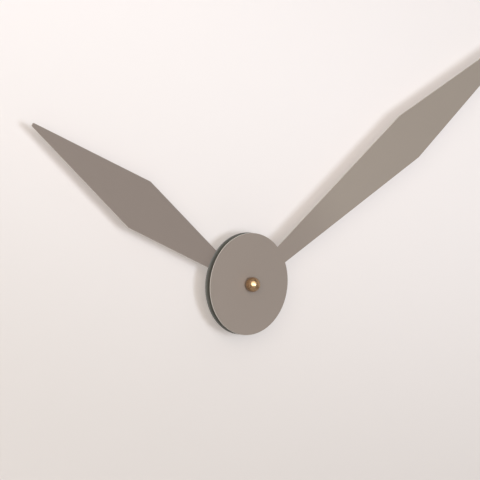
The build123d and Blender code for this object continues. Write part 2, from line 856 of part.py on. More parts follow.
# AA cell across the foot of the case, with its nipple to the right
with BuildPart() as battery:
    with BuildSketch(Plane.YZ.offset(cell_left)):
        with Locations((-cell_depth, cell_height)):
            Circle(cell_radius)
    extrude(amount=cell_length)
    chamfer(battery.edges().filter_by(GeomType.CIRCLE), cell_edge)
    with BuildSketch(Plane.YZ.offset(cell_right)):
        with Locations((-cell_depth, cell_height)):
            Circle(cell_nipple_radius)
    extrude(amount=cell_nipple)
battery.part.label = "battery"
export_step(battery.part, "parts/battery.step")

# Sprung contact strips at the ends of the cell, each with a tail to the circuit board
contact_outer = inner_half - contact_gap
contact_face = contact_outer - contact_sheet
tail_height = cell_height + cell_radius + edge_room
positive_reach = contact_face - (cell_right + cell_nipple)
negative_reach = contact_face + cell_left
with BuildPart() as contact_positive:
    with BuildSketch(Plane.YZ.offset(contact_face)):
        with Locations((-cell_depth, cell_height)):
            Rectangle(contact_depth, contact_height)
        tail_rise = board_foot + 2 * contact_tail - cell_height
        with Locations((-board_depth + contact_tail, cell_height + tail_rise / 2)):
            Rectangle(2 * contact_tail, tail_rise)
    extrude(amount=contact_sheet)
    with BuildSketch(Plane.YZ.offset(contact_face - positive_reach)):
        with Locations((-cell_depth, cell_height)):
            Circle(contact_bump_radius)
    extrude(amount=positive_reach)
    with BuildSketch(at_depth(board_depth - contact_sheet)):
        foot_left = board_right - 2 * contact_tail
        with Locations(((foot_left + contact_outer) / 2, board_foot + contact_tail)):
            Rectangle(contact_outer - foot_left, 2 * contact_tail)
    extrude(amount=contact_sheet)
contact_positive.part.label = "contact_positive"
export_step(contact_positive.part, "parts/contact_positive.step")

tail_end = board_left + 2 * contact_tail
riser_front = board_front + contact_sheet
riser_top = tail_height + contact_tail
with BuildPart() as contact_negative:
    with BuildSketch(Plane.YZ.offset(-contact_outer)):
        with Locations((-cell_depth, cell_height)):
            Rectangle(contact_depth, contact_height)
        with Locations((-(cell_depth + riser_front) / 2, (cell_height + riser_top) / 2)):
            Rectangle(riser_front - cell_depth, riser_top - cell_height)
    extrude(amount=contact_sheet)
    with BuildSketch(Plane.YZ.offset(-contact_face)):
        with Locations((-cell_depth, cell_height)):
            Circle(contact_bump_radius)
    extrude(amount=negative_reach)
    with BuildSketch(at_depth(board_front)):
        with Locations(((tail_end - contact_outer) / 2, tail_height + contact_tail / 2)):
            Rectangle(tail_end + contact_outer, contact_tail)
        foot_top = board_foot + 2 * contact_tail
        with Locations((tail_end - contact_tail / 2, (foot_top + tail_height) / 2)):
            Rectangle(contact_tail, foot_top - tail_height)
    extrude(amount=contact_sheet)
contact_negative.part.label = "contact_negative"
export_step(contact_negative.part, "parts/contact_negative.step")

# Circuit board on its posts, with the quartz crystal can and the driver chip behind it
with BuildPart() as circuit_board:
    with BuildSketch(at_depth(board_depth)):
        with Locations(((board_left + board_right) / 2, board_middle)):
            Rectangle(board_width, board_height)
    extrude(amount=board_thickness)
circuit_board.part.label = "circuit_board"
export_step(circuit_board.part, "parts/circuit_board.step")

crystal_middle = board_left + crystal_inset + crystal_radius
with BuildPart() as quartz_crystal:
    with BuildSketch(Plane.XY.offset(board_foot + crystal_rise)):
        with Locations((crystal_middle, -board_depth + crystal_radius)):
            Circle(crystal_radius)
    extrude(amount=crystal_length)
quartz_crystal.part.label = "quartz_crystal"
export_step(quartz_crystal.part, "parts/quartz_crystal.step")

chip_middle = (
    board_left + chip_inset + chip_width / 2,
    board_foot + chip_rise + chip_height / 2,
)
with BuildPart() as driver_chip:
    with BuildSketch(at_depth(board_depth - chip_thickness)):
        with Locations(chip_middle):
            Rectangle(chip_width, chip_height)
    extrude(amount=chip_thickness)
driver_chip.part.label = "driver_chip"
export_step(driver_chip.part, "parts/driver_chip.step")
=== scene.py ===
from math import cos, pi, radians, sin

import bmesh
import bpy
from mathutils import Matrix, Vector


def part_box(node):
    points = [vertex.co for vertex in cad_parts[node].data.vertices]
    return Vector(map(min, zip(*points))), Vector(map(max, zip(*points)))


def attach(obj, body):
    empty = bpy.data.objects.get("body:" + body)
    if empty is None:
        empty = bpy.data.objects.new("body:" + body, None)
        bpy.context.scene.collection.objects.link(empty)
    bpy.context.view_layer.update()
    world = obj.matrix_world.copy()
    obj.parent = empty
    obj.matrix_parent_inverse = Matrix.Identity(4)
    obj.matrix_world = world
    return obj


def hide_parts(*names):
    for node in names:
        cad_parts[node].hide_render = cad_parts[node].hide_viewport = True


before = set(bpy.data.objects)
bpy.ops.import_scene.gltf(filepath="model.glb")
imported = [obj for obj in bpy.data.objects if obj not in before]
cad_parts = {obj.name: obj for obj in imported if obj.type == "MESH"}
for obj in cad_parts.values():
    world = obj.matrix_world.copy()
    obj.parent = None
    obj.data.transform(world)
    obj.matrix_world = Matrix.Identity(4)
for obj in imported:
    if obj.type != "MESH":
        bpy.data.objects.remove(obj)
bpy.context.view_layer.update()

# Wall bracket
# A strip of sheet steel bent like a hat, zinc plated after bending, so it is bluish and cloudy
# with faint rolling lines along its length. Two wall screws go through its feet.


class Wire:
    """A socket of a material's nodes. Python arithmetic on it adds Math nodes."""

    def __init__(self, tree, socket=None):
        self.tree = tree
        self.socket = socket

    def node(self, kind, settings, sockets, output=0):
        """Adds a node: its settings first, then the values or links of its sockets."""
        made = self.tree.nodes.new("ShaderNode" + kind)
        for name, value in settings.items():
            setattr(made, name, value)
        for name, value in sockets.items():
            if isinstance(value, Wire):
                self.tree.links.new(value.socket, made.inputs[name])
            else:
                made.inputs[name].default_value = value
        return Wire(self.tree, made.outputs[output])

    def math(self, operation, first, second):
        return self.node("Math", {"operation": operation}, {0: first, 1: second})

    def __add__(self, other):
        return self.math("ADD", self, other)

    def __radd__(self, other):
        return self.math("ADD", other, self)

    def __sub__(self, other):
        return self.math("SUBTRACT", self, other)

    def __rsub__(self, other):
        return self.math("SUBTRACT", other, self)

    def __mul__(self, other):
        return self.math("MULTIPLY", self, other)

    def __rmul__(self, other):
        return self.math("MULTIPLY", other, self)

    def __gt__(self, other):
        return self.math("GREATER_THAN", self, other)

    def __lt__(self, other):
        return self.math("LESS_THAN", self, other)

    def axis(self, name):
        """One coordinate of a vector."""
        return self.node("SeparateXYZ", {}, {"Vector": self}, name)

    def stretched(self, x, y, z):
        """The coordinates scaled along each axis: below 1 draws a pattern out."""
        return self.node("Mapping", {}, {"Vector": self, "Scale": (x, y, z)})

    def cloud(self, size, detail, roughness=0.5):
        """Noise from 0 to 1 with blotches of about a size in metres."""
        sockets = {"Vector": self, "Scale": 1.0 / size, "Detail": detail, "Roughness": roughness}
        return self.node("TexNoise", {}, sockets, "Fac")

    def bands(self, direction, scale, distortion=0.0):
        """Waves from 0 to 1 across one axis."""
        sockets = {"Vector": self, "Scale": scale, "Distortion": distortion}
        return self.node("TexWave", {"bands_direction": direction}, sockets, "Fac")

    def between(self, low, high):
        """The value's 0 to 1 spread over a range of numbers."""
        return self * (high - low) + low

    def ease(self, low, high):
        """0 below a value and 1 above another, smooth between them."""
        settings = {"interpolation_type": "SMOOTHSTEP"}
        return self.node("MapRange", settings, {"Value": self, "From Min": low, "From Max": high})

    def blend(self, low, high):
        """A mix of two colours by this value, on the Mix node's colour sockets."""
        factor, first_colour, second_colour, colour_result = 0, 6, 7, 2
        sockets = {factor: self, first_colour: low, second_colour: high}
        return self.node("Mix", {"data_type": "RGBA"}, sockets, colour_result)

    def bump(self, strength, height):
        """A surface normal from this value as a height in metres."""
        return self.node("Bump", {}, {"Height": self, "Strength": strength, "Distance": height})

    def into(self, shader, name):
        self.tree.links.new(self.socket, shader.inputs[name])


def rgb(red, green, blue):
    return (red, green, blue, 1.0)


def start_finish(name, **constants):
    """A material with its shader's constant values, and the piece's own coordinates."""
    finish = bpy.data.materials.new(name)
    finish.use_nodes = True
    shader = finish.node_tree.nodes["Principled BSDF"]
    for socket, value in constants.items():
        shader.inputs[socket.replace("_", " ")].default_value = value
    place = Wire(finish.node_tree).node("TexCoord", {}, {}, "Object")
    return finish, shader, place


def set_surface(shader, colour, roughness, normal):
    """Links what varies over a surface to its shader."""
    colour.into(shader, "Base Color")
    roughness.into(shader, "Roughness")
    normal.into(shader, "Normal")


def dress(finish, *names):
    """Gives CAD nodes their finish."""
    for name in names:
        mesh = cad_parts[name].data
        mesh.materials.clear()
        mesh.materials.append(finish)


crystals_per_metre = 420.0
zinc_plate, shader, place = start_finish("zinc_plate", Metallic=1.0)
crystal_sockets = {"Vector": place, "Scale": crystals_per_metre, "Randomness": 1.0}
crystals = place.node("TexVoronoi", {"feature": "F1"}, crystal_sockets, "Color").axis("X")
haze = place.cloud(size=0.012, detail=4.0)
rolling = place.stretched(1.0, 1.0, 0.03).cloud(size=0.0005, detail=3.0)
tone = crystals * 0.35 + haze * 0.4 + rolling * 0.25
set_surface(
    shader,
    colour=tone.blend(rgb(0.46, 0.47, 0.49), rgb(0.66, 0.67, 0.68)),
    roughness=tone.between(0.46, 0.3),
    normal=(rolling * 0.6 + crystals * 0.4).bump(strength=0.25, height=0.00004),
)
dress(zinc_plate, "wall_bracket", "bushing_washer")

# Movement case
# Two halves moulded in off-white styrene with a fine eroded grain. The front half clamps under
# the bracket, the rear half is open over the cell and carries raised marks.

case_plastic, shader, place = start_finish("case_plastic", IOR=1.5, Specular_IOR_Level=0.45)
grain = place.cloud(size=0.0004, detail=3.0, roughness=0.6)
flow = place.stretched(1.0, 1.0, 0.35).cloud(size=0.02, detail=3.0)
set_surface(
    shader,
    colour=(grain * 0.3 + flow * 0.7).blend(rgb(0.70, 0.68, 0.62), rgb(0.79, 0.775, 0.72)),
    roughness=grain.between(0.42, 0.58),
    normal=grain.bump(strength=0.35, height=0.00006),
)
dress(case_plastic, "case_front", "case_rear")


def flat_ring_points(middle, inner, outer, start, end, steps):
    """The outline of a bent bar on the case, as (x, z) points."""
    rim = [start + (end - start) * i / steps for i in range(steps + 1)]
    outside = [(middle[0] + outer * cos(a), middle[1] + outer * sin(a)) for a in rim]
    inside = [(middle[0] + inner * cos(a), middle[1] + inner * sin(a)) for a in reversed(rim)]
    return outside + inside


def plus_outline(middle, reach, half):
    """A plus sign's outline round a middle."""
    x, z = middle
    corners = [
        (half, half), (half, reach), (-half, reach), (-half, half), (-reach, half), (-reach, -half),
        (-half, -half), (-half, -reach), (half, -reach), (half, -half), (reach, -half), (reach, half),
    ]
    return [(x + a, z + b) for a, b in corners]


def minus_outline(middle, reach, half):
    """A minus sign's outline round a middle."""
    x, z = middle
    corners = [(-reach, -half), (reach, -half), (reach, half), (-reach, half)]
    return [(x + a, z + b) for a, b in corners]


def mesh_piece(name, shape):
    """A closed bmesh as an object of its own, with its faces turned outwards."""
    bmesh.ops.recalc_face_normals(shape, faces=shape.faces[:])
    mesh = bpy.data.meshes.new(name)
    shape.to_mesh(mesh)
    shape.free()
    piece = bpy.data.objects.new(name, mesh)
    bpy.context.scene.collection.objects.link(piece)
    return piece


def raised_plates(name, outlines, near, far):
    """Plates of given (x, z) outlines between two depths along Y, each one closed."""
    shape = bmesh.new()
    for outline in outlines:
        back = [shape.verts.new((x, far, z)) for x, z in outline]
        front = [shape.verts.new((x, near, z)) for x, z in outline]
        shape.faces.new(back)
        shape.faces.new(list(reversed(front)))
        for i in range(len(outline)):
            j = (i + 1) % len(outline)
            shape.faces.new((back[j], back[i], front[i], front[j]))
    return mesh_piece(name, shape)


rear_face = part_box("case_rear")[1].y
knob_low, knob_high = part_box("setting_knob")
cell_low, cell_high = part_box("battery")
knob_middle = ((knob_low.x + knob_high.x) / 2, (knob_low.z + knob_high.z) / 2)
mark_height = 0.0003
mark_root = 0.0001
mark_reach = 0.0017
mark_half = 0.00035
mark_inset = 0.008
mark_line = cell_high.z + 0.0030
plus_sign = plus_outline((cell_high.x - mark_inset, mark_line), mark_reach, mark_half)
minus_sign = minus_outline((cell_low.x + mark_inset, mark_line), mark_reach, mark_half)
arrow_radius = 0.0088
arrow_half = 0.0004
arrow_tip = 0.0011
arrow_start, arrow_end = radians(-62.0), radians(18.0)
arrow_lead = radians(14.0)
arrow_steps = 24
arrow_bar = flat_ring_points(
    knob_middle, arrow_radius - arrow_half, arrow_radius + arrow_half, arrow_start, arrow_end, arrow_steps
)
arrow_point = [
    (knob_middle[0] + r * cos(a), knob_middle[1] + r * sin(a))
    for r, a in (
        (arrow_radius - arrow_tip, arrow_end),
        (arrow_radius + arrow_tip, arrow_end),
        (arrow_radius, arrow_end + arrow_lead),
    )
]
case_marks = raised_plates(
    "case_marks",
    [plus_sign, minus_sign, arrow_bar, arrow_point],
    rear_face - mark_root,
    rear_face + mark_height,
)
case_marks.data.materials.append(case_plastic)
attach(case_marks, "movement")

# Case screws
# Four self-tapping pan-head screws in bright zinc, with a cross recess and a slightly domed head.
# They come in from behind and pull the rear half onto the bosses of the front half.

bright_zinc, shader, place = start_finish("bright_zinc", Metallic=1.0)
smear = place.cloud(size=0.0016, detail=3.0)
turning = place.cloud(size=0.00025, detail=2.0)
set_surface(
    shader,
    colour=(smear * 0.7 + turning * 0.3).blend(rgb(0.50, 0.51, 0.53), rgb(0.74, 0.75, 0.76)),
    roughness=smear.between(0.22, 0.42),
    normal=turning.bump(strength=0.2, height=0.00003),
)

screw_sizes = {
    "Head radius": 0.0019,
    "Head height": 0.0008,
    "Dome": 0.00025,
    "Shank radius": 0.001,
    "Shank length": 0.0062,
    "Shank seat": 0.0002,
    "Slot length": 0.0021,
    "Slot width": 0.0005,
    "Slot depth": 0.0004,
}
head_sides = 36
head_rings = 5
shank_sides = 24
top_share = 0.9
weld_distance = 0.000002
screw_seed = 8
screw_tree = bpy.data.node_groups.new("pan_head_screws", "GeometryNodeTree")
screw_tree.interface.new_socket("Geometry", in_out="INPUT", socket_type="NodeSocketGeometry")
screw_tree.interface.new_socket("Geometry", in_out="OUTPUT", socket_type="NodeSocketGeometry")
for name in screw_sizes:
    screw_tree.interface.new_socket(name, in_out="INPUT", socket_type="NodeSocketFloat")


def grow(kind, settings, sockets, output=0):
    """Adds a node to the screws' tree, its settings first, and returns one of its outputs."""
    made = screw_tree.nodes.new(kind)
    for name, value in settings.items():
        setattr(made, name, value)
    for name, value in sockets.items():
        links = value if isinstance(value, list) else [value]
        for link in links:
            if isinstance(link, bpy.types.NodeSocket):
                screw_tree.links.new(link, made.inputs[name])
            else:
                made.inputs[name].default_value = link
    return made.outputs[output]


def screw_math(operation, first, second):
    return grow("ShaderNodeMath", {"operation": operation}, {0: first, 1: second})


def screw_vector(x=0.0, y=0.0, z=0.0):
    return grow("ShaderNodeCombineXYZ", {}, {"X": x, "Y": y, "Z": z})


def raised(geometry, height):
    return grow("GeometryNodeTransform", {}, {"Geometry": geometry, "Translation": screw_vector(z=height)})


def united(*meshes):
    settings = {"operation": "UNION", "solver": "EXACT"}
    return grow("GeometryNodeMeshBoolean", settings, {"Mesh 2": list(meshes)}, "Mesh")


size = screw_tree.nodes.new("NodeGroupInput").outputs
head = grow(
    "GeometryNodeMeshCylinder",
    {},
    {
        "Vertices": head_sides,
        "Side Segments": 2,
        "Fill Segments": head_rings,
        "Radius": size["Head radius"],
        "Depth": size["Head height"],
    },
    "Mesh",
)
spot = grow("GeometryNodeInputPosition", {}, {})
flat_spot = screw_vector(
    grow("ShaderNodeSeparateXYZ", {}, {"Vector": spot}, "X"),
    grow("ShaderNodeSeparateXYZ", {}, {"Vector": spot}, "Y"),
)
radius = grow("ShaderNodeVectorMath", {"operation": "LENGTH"}, {0: flat_spot}, "Value")
share = screw_math("DIVIDE", radius, size["Head radius"])
height = grow("ShaderNodeSeparateXYZ", {}, {"Vector": spot}, "Z")
on_top = screw_math("GREATER_THAN", height, screw_math("MULTIPLY", size["Head height"], top_share))
fall = screw_math("MULTIPLY", screw_math("POWER", share, 2.0), size["Dome"])
drop = screw_math("MULTIPLY", screw_math("MULTIPLY", fall, on_top), -1.0)
domed = grow(
    "GeometryNodeSetPosition",
    {},
    {
        "Geometry": raised(head, screw_math("MULTIPLY", size["Head height"], 0.5)),
        "Offset": screw_vector(z=drop),
    },
)
slot_floor = screw_math("SUBTRACT", size["Head height"], size["Slot depth"])
slot_middle = screw_math("ADD", slot_floor, size["Head height"])
slot_height = screw_math("MULTIPLY", size["Head height"], 2.0)
slots = []
for wide, deep in (("Slot length", "Slot width"), ("Slot width", "Slot length")):
    slot_size = screw_vector(size[wide], size[deep], slot_height)
    slots.append(raised(grow("GeometryNodeMeshCube", {}, {"Size": slot_size}, "Mesh"), slot_middle))
recessed = grow(
    "GeometryNodeMeshBoolean",
    {"operation": "DIFFERENCE", "solver": "EXACT"},
    {"Mesh 1": domed, "Mesh 2": united(*slots)},
    "Mesh",
)
shank = grow(
    "GeometryNodeMeshCylinder",
    {},
    {"Vertices": shank_sides, "Radius": size["Shank radius"], "Depth": size["Shank length"]},
    "Mesh",
)
half_shank = screw_math("MULTIPLY", size["Shank length"], 0.5)
seated_shank = raised(shank, screw_math("SUBTRACT", size["Shank seat"], half_shank))
screw = grow(
    "GeometryNodeMergeByDistance",
    {},
    {"Geometry": united(recessed, seated_shank), "Distance": weld_distance},
)
placed = grow(
    "GeometryNodeInstanceOnPoints",
    {},
    {"Points": size["Geometry"], "Instance": screw, "Rotation": (-pi / 2, 0.0, 0.0)},
)
turn = grow(
    "FunctionNodeRandomValue",
    {"data_type": "FLOAT_VECTOR"},
    {"Min": (0.0, 0.0, 0.0), "Max": (0.0, 0.0, pi / 2), "Seed": screw_seed},
)
turned = grow("GeometryNodeRotateInstances", {}, {"Instances": placed, "Rotation": turn, "Local Space": True})
real = grow("GeometryNodeRealizeInstances", {}, {"Geometry": turned})
coated = grow("GeometryNodeSetMaterial", {}, {"Geometry": real, "Material": bright_zinc})
screw_tree.links.new(coated, screw_tree.nodes.new("NodeGroupOutput").inputs["Geometry"])


def grown_piece(name, seed_mesh, tree, values):
    """Runs a node tree on a seed mesh and keeps the result as a plain mesh object."""
    seed = bpy.data.objects.new(name + "_seed", seed_mesh)
    bpy.context.scene.collection.objects.link(seed)
    modifier = seed.modifiers.new("grow", "NODES")
    modifier.node_group = tree
    for item in tree.interface.items_tree:
        if item.in_out == "INPUT" and item.name in values:
            modifier[item.identifier] = values[item.name]
    bpy.context.view_layer.update()
    grown = seed.evaluated_get(bpy.context.evaluated_depsgraph_get())
    mesh = bpy.data.meshes.new_from_object(grown)
    seed.modifiers.remove(modifier)
    bpy.data.objects.remove(seed)
    mesh.name = name
    piece = bpy.data.objects.new(name, mesh)
    bpy.context.scene.collection.objects.link(piece)
    return piece


def midway(values):
    return (min(values) + max(values)) / 2


screws_low, screws_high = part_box("case_screws")
screws_middle_z = (screws_low.z + screws_high.z) / 2
seat_y = screws_high.y - screw_sizes["Head height"]
screw_points = [v.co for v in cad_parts["case_screws"].data.vertices]
screw_spots = []
for side in (-1, 1):
    for up in (-1, 1):
        one = [p for p in screw_points if p.x * side > 0 and (p.z - screws_middle_z) * up > 0]
        screw_spots.append((midway([p.x for p in one]), seat_y, midway([p.z for p in one])))
screw_seats = bpy.data.meshes.new("screw_seats")
screw_seats.from_pydata(screw_spots, [], [])
pan_head_screws = grown_piece("pan_head_screws", screw_seats, screw_tree, screw_sizes)
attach(pan_head_screws, "movement")
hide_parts("case_screws")

# Cell
# A round AA cell: a steel can in a printed shrink sleeve whose edges roll over both ends, with a
# bright nipple at one end and a flat base at the other. It lies loose between two contact strips.

mm = 0.001
cell_radius = (cell_high.z - cell_low.z) / 2
cell_y = cell_high.y - cell_radius
cell_z = (cell_low.z + cell_high.z) / 2
base = [(0.0, 0.0), (3.9, 0.0), (4.3, 0.25), (4.6, 0.25), (4.9, 0.05)]
lower_roll = [(5.9, 0.0), (6.5, 0.08), (6.9, 0.3), (7.08, 0.7)]
sleeve_side = [(7.1, 1.2), (7.1, 48.0)]
upper_roll = [(7.08, 48.5), (6.9, 48.9), (6.5, 49.12), (5.9, 49.2)]
top = [(5.5, 49.1), (5.3, 48.8), (3.4, 48.8), (3.0, 49.0)]
nipple = [(2.75, 49.4), (2.72, 50.2), (2.55, 50.42), (2.2, 50.5), (0.0, 50.5)]
cell_profile = base + lower_roll + sleeve_side + upper_roll + top + nipple
cell_sides = 64


def on_cell(radius, along, angle):
    """A point of the cell from millimetres off and along its axis."""
    return (
        cell_low.x + along * mm,
        cell_y + radius * mm * sin(angle),
        cell_z + radius * mm * cos(angle),
    )


def lathe(name, profile, sides, place_point):
    """A closed turned mesh from (radius, along) points."""
    shape = bmesh.new()
    rings = []
    for radius, along in profile:
        angles = [2 * pi * i / sides for i in range(sides)] if radius else [0.0]
        rings.append([shape.verts.new(place_point(radius, along, angle)) for angle in angles])
    for first, second in zip(rings, rings[1:]):
        for i in range(sides):
            j = (i + 1) % sides
            loop = [ring[k % len(ring)] for ring, k in ((first, i), (first, j), (second, j), (second, i))]
            face = shape.faces.new(list(dict.fromkeys(loop)))
            face.smooth = True
    return mesh_piece(name, shape)


bare_radius = 0.0053
bare_base, bare_top = 0.0006, 0.0484
stripe_start, stripe_end = 0.0334, 0.0342
band_start = 0.0352
print_edge = 0.0001
stripe_edge = 0.00005
cell_sleeve, shader, place = start_finish("cell_sleeve", IOR=1.5, Coat_Weight=0.4, Coat_Roughness=0.12)
along = place.axis("X") - cell_low.x
out_y = place.axis("Y") - cell_y
out_z = place.axis("Z") - cell_z
near_axis = (out_y * out_y + out_z * out_z) < bare_radius**2
bare_end = near_axis * ((along < bare_base) + (along > bare_top))
band = along.ease(band_start, band_start + print_edge)
past_start = along.ease(stripe_start, stripe_start + stripe_edge)
past_end = along.ease(stripe_end, stripe_end + stripe_edge)
stripe = past_start - past_end
ink = place.cloud(size=0.0012, detail=4.0)
scuff = place.stretched(0.25, 1.0, 1.0).cloud(size=0.0022, detail=5.0, roughness=0.65).ease(0.62, 0.74)
paint = band.blend(rgb(0.62, 0.63, 0.61), rgb(0.045, 0.10, 0.085))
paint = stripe.blend(paint, rgb(0.055, 0.11, 0.095))
paint = (ink * 0.25).blend(paint, rgb(0.30, 0.31, 0.30))
paint = (scuff * 0.3).blend(paint, rgb(0.70, 0.70, 0.68))
bare_end.into(shader, "Metallic")
set_surface(
    shader,
    colour=bare_end.blend(paint, rgb(0.70, 0.70, 0.69)),
    roughness=scuff * 0.2 + ink * 0.1 + 0.26,
    normal=(ink * 0.4 + scuff * 0.6).bump(strength=0.15, height=0.00004),
)
cell = lathe("cell", cell_profile, cell_sides, on_cell)
cell.data.materials.append(cell_sleeve)
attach(cell, "movement")
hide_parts("battery")

# Contact strips
# Two strips of nickel-plated spring steel, pressed with a round pip towards the cell, in slots of
# the front half. Their tails run up to the circuit board.

nickel_strip, shader, place = start_finish("nickel_strip", Metallic=1.0)
draw_lines = place.stretched(1.0, 0.05, 1.0).cloud(size=0.0004, detail=3.0)
tarnish = place.cloud(size=0.005, detail=4.0)
set_surface(
    shader,
    colour=(draw_lines * 0.4 + tarnish * 0.6).blend(rgb(0.55, 0.52, 0.47), rgb(0.72, 0.70, 0.66)),
    roughness=tarnish.between(0.22, 0.4),
    normal=draw_lines.bump(strength=0.2, height=0.00003),
)
dress(nickel_strip, "contact_positive", "contact_negative", "clutch_spring")

# Circuit
# A small glass-fibre board on posts of the front half, green under its lacquer, with the quartz
# in a drawn tin can and the driver in a black moulded block, both soldered to its rear.

weave_scale = 400.0
trace_scale = 90.0
board_green, shader, place = start_finish("board_green", IOR=1.5, Coat_Weight=0.5, Coat_Roughness=0.2)
weave = place.bands("X", weave_scale) * 0.5 + place.bands("Z", weave_scale) * 0.5
traces = place.bands("X", trace_scale, distortion=2.0)
lacquer = weave.blend(rgb(0.012, 0.10, 0.045), rgb(0.02, 0.14, 0.06))
set_surface(
    shader,
    colour=(traces.ease(0.55, 0.62) * 0.6).blend(lacquer, rgb(0.05, 0.24, 0.09)),
    roughness=weave.between(0.3, 0.45),
    normal=(weave * 0.5 + traces * 0.5).bump(strength=0.2, height=0.00003),
)
dress(board_green, "circuit_board")

tin_can, shader, place = start_finish("tin_can", Metallic=1.0)
drawn = place.stretched(1.0, 1.0, 0.06).cloud(size=0.0003, detail=3.0)
set_surface(
    shader,
    colour=drawn.blend(rgb(0.62, 0.62, 0.63), rgb(0.80, 0.80, 0.80)),
    roughness=drawn.between(0.2, 0.36),
    normal=drawn.bump(strength=0.15, height=0.00002),
)
dress(tin_can, "quartz_crystal")

chip_resin, shader, place = start_finish("chip_resin", IOR=1.55)
dust = place.cloud(size=0.0002, detail=3.0)
set_surface(
    shader,
    colour=dust.blend(rgb(0.014, 0.014, 0.015), rgb(0.03, 0.03, 0.032)),
    roughness=dust.between(0.55, 0.75),
    normal=dust.bump(strength=0.3, height=0.00003),
)
dress(chip_resin, "driver_chip")

# Motor
# A stepping motor: a stator and a core stamped from soft iron, a moulded bobbin wound with fine
# enamelled copper wire, and a small ring magnet pressed on the rotor.

soft_iron, shader, place = start_finish("soft_iron", Metallic=1.0)
anneal = place.cloud(size=0.003, detail=5.0)
stamp_lines = place.stretched(0.08, 1.0, 1.0).cloud(size=0.0003, detail=2.0)
set_surface(
    shader,
    colour=(anneal * 0.7 + stamp_lines * 0.3).blend(rgb(0.24, 0.235, 0.23), rgb(0.44, 0.43, 0.42)),
    roughness=anneal.between(0.35, 0.55),
    normal=stamp_lines.bump(strength=0.2, height=0.00003),
)
dress(soft_iron, "stator", "coil_core")

magnet_black, shader, place = start_finish("magnet_black", Metallic=0.6)
sinter = place.cloud(size=0.00025, detail=4.0)
set_surface(
    shader,
    colour=sinter.blend(rgb(0.05, 0.05, 0.055), rgb(0.12, 0.12, 0.125)),
    roughness=sinter.between(0.45, 0.65),
    normal=sinter.bump(strength=0.3, height=0.00003),
)
dress(magnet_black, "rotor_magnet")

wire_scale = 1300.0
copper_wire, shader, place = start_finish("copper_wire", Metallic=1.0, Coat_Weight=0.6, Coat_Roughness=0.15)
# The winding is darker in the grooves between turns: painted shade, laid on the same wave as its bump.
turns_and_groove_shade = place.bands("X", wire_scale)
lay = place.cloud(size=0.0008, detail=2.0)
set_surface(
    shader,
    colour=(turns_and_groove_shade * 0.7 + lay * 0.3).blend(rgb(0.30, 0.10, 0.04), rgb(0.72, 0.32, 0.16)),
    roughness=lay.between(0.25, 0.4),
    normal=turns_and_groove_shade.bump(strength=0.7, height=0.00006),
)
dress(copper_wire, "coil_winding")

# Wheel train
# Wheels and pinions moulded in natural and in black acetal, on a moulded plate. The bobbin, the
# knob and its stem are the same black plastic.

pale_acetal, shader, place = start_finish("pale_acetal", IOR=1.48)
melt = place.cloud(size=0.004, detail=3.0)
skin = place.cloud(size=0.00025, detail=2.0)
set_surface(
    shader,
    colour=melt.blend(rgb(0.70, 0.70, 0.67), rgb(0.82, 0.82, 0.79)),
    roughness=skin.between(0.3, 0.42),
    normal=skin.bump(strength=0.2, height=0.00002),
)
dress(pale_acetal, "second_wheel", "third_wheel", "centre_wheel", "motion_wheel", "hour_wheel", "train_plate")

black_acetal, shader, place = start_finish("black_acetal", IOR=1.48)
melt = place.cloud(size=0.003, detail=3.0)
skin = place.cloud(size=0.0003, detail=3.0, roughness=0.6)
set_surface(
    shader,
    colour=(melt * 0.5 + skin * 0.5).blend(rgb(0.016, 0.016, 0.017), rgb(0.045, 0.044, 0.043)),
    roughness=skin.between(0.36, 0.52),
    normal=skin.bump(strength=0.35, height=0.00005),
)
dress(black_acetal, "rotor_pinion", "coil_bobbin", "setting_knob")

# Minute arbor
# The steel arbor turned in one piece with its cannon pinion. It runs in the case and carries the
# minute hand on its front end.

arbor_steel, shader, place = start_finish("arbor_steel", Metallic=1.0)
lathe_lines = place.stretched(0.1, 1.0, 0.1).cloud(size=0.00012, detail=2.0)
oil = place.cloud(size=0.003, detail=3.0)
set_surface(
    shader,
    colour=(lathe_lines * 0.5 + oil * 0.5).blend(rgb(0.42, 0.42, 0.43), rgb(0.62, 0.62, 0.63)),
    roughness=oil.between(0.2, 0.36),
    normal=lathe_lines.bump(strength=0.25, height=0.00002),
)
dress(arbor_steel, "minute_arbor")

# Bushing, nut and collets
# Turned from brass rod and left bare: the bushing with its flange in the case, the hexagon nut
# that clamps the bracket, and the two collets riveted into the hands.

turned_brass, shader, place = start_finish("turned_brass", Metallic=1.0)
tool_marks = place.stretched(0.06, 1.0, 0.06).cloud(size=0.0002, detail=2.0)
patina = place.cloud(size=0.004, detail=5.0, roughness=0.6)
set_surface(
    shader,
    colour=(tool_marks * 0.4 + patina * 0.6).blend(rgb(0.42, 0.27, 0.10), rgb(0.72, 0.52, 0.24)),
    roughness=patina.between(0.24, 0.42),
    normal=tool_marks.bump(strength=0.3, height=0.00003),
)
dress(turned_brass, "threaded_bushing", "hex_nut", "hour_collet", "minute_collet")

# Hour and minute hands
# Each is a hub disc and a kite-shaped blade cut from thin sheet in one piece and powder coated in
# matt taupe, pale where the cut edge shows. The coat holds painted light: the hour hand's hub and
# its rim are painted dark grey as shade in the gap behind the minute hand's hub, the hour hand's
# coat is a darker, shaded copy of the minute hand's, and the minute hand's blade is painted lighter
# than its hub as sheen.

pale_edge = rgb(0.66, 0.62, 0.57)
hub_radius = -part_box("hour_hand")[0].z


